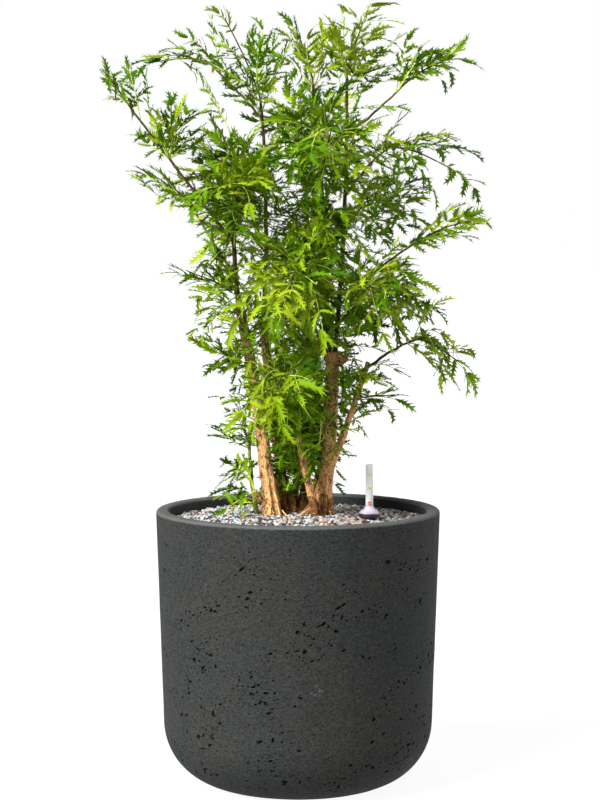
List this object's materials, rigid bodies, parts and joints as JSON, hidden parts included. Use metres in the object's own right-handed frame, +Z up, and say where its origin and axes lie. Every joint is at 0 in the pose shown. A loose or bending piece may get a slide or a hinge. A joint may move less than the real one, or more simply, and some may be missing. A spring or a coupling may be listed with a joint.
{
  "type": "potted ming aralia",
  "caption": "Bushy indoor shrub with slender upright stems and open, finely divided foliage, in a round cement planter filled with gravel and a water gauge.",
  "frame": {"origin": "middle of the planter's flat underside", "axes": "+Z up along the planter's axis, -Y towards the viewer of the reference picture, +X to the right"},
  "size_m": [0.462, 0.3655, 0.927],
  "materials": {
    "fibre_cement": "matt, pitted",
    "gravel": "matt",
    "bark": "matt, fibrous",
    "dark_bark": "matt",
    "foliage": "satin",
    "dark_plastic": "satin",
    "clear_plastic": "gloss",
    "milky_plastic": "gloss"
  },
  "bodies": {
    "root": {"bough_back_left": "dark_bark", "bough_back_low": "dark_bark", "bough_back_right": "dark_bark", "bough_droop": "dark_bark", "bough_far_left": "dark_bark", "bough_front": "dark_bark", "bough_front_right": "dark_bark", "bough_left": "dark_bark", "bough_right": "dark_bark", "bough_right_low": "dark_bark", "bough_top_left": "dark_bark", "bough_top_right": "dark_bark", "foliage_back_high": "foliage", "foliage_back_left": "foliage", "foliage_back_low": "foliage", "foliage_back_right": "foliage", "foliage_droop": "foliage", "foliage_far_left": "foliage", "foliage_far_top_left": "foliage", "foliage_foot_left": "foliage", "foliage_front": "foliage", "foliage_front_high": "foliage", "foliage_front_left": "foliage", "foliage_front_low": "foliage", "foliage_front_right": "foliage", "foliage_heart": "foliage", "foliage_inner_left": "foliage", "foliage_inner_right": "foliage", "foliage_left": "foliage", "foliage_left_high": "foliage", "foliage_left_low": "foliage", "foliage_left_lower": "foliage", "foliage_low_front": "foliage", "foliage_low_right": "foliage", "foliage_middle": "foliage", "foliage_right": "foliage", "foliage_right_low": "foliage", "foliage_top": "foliage", "foliage_top_left": "foliage", "foliage_top_middle": "foliage", "foliage_top_right": "foliage", "gauge_cap": "clear_plastic", "gauge_collar": "dark_plastic", "gauge_tube": "milky_plastic", "gravel": "gravel", "leader_back": "dark_bark", "leader_back_left": "dark_bark", "leader_centre": "dark_bark", "leader_left": "dark_bark", "leader_right": "dark_bark", "pot": "fibre_cement", "shoot_left": "bark", "stem_back": "bark", "stem_back_left": "bark", "stem_left": "bark", "stem_middle": "bark", "stem_outer": "bark", "stem_right": "bark", "stub_left": "bark", "stub_right": "bark"}
  },
  "joints": []
}
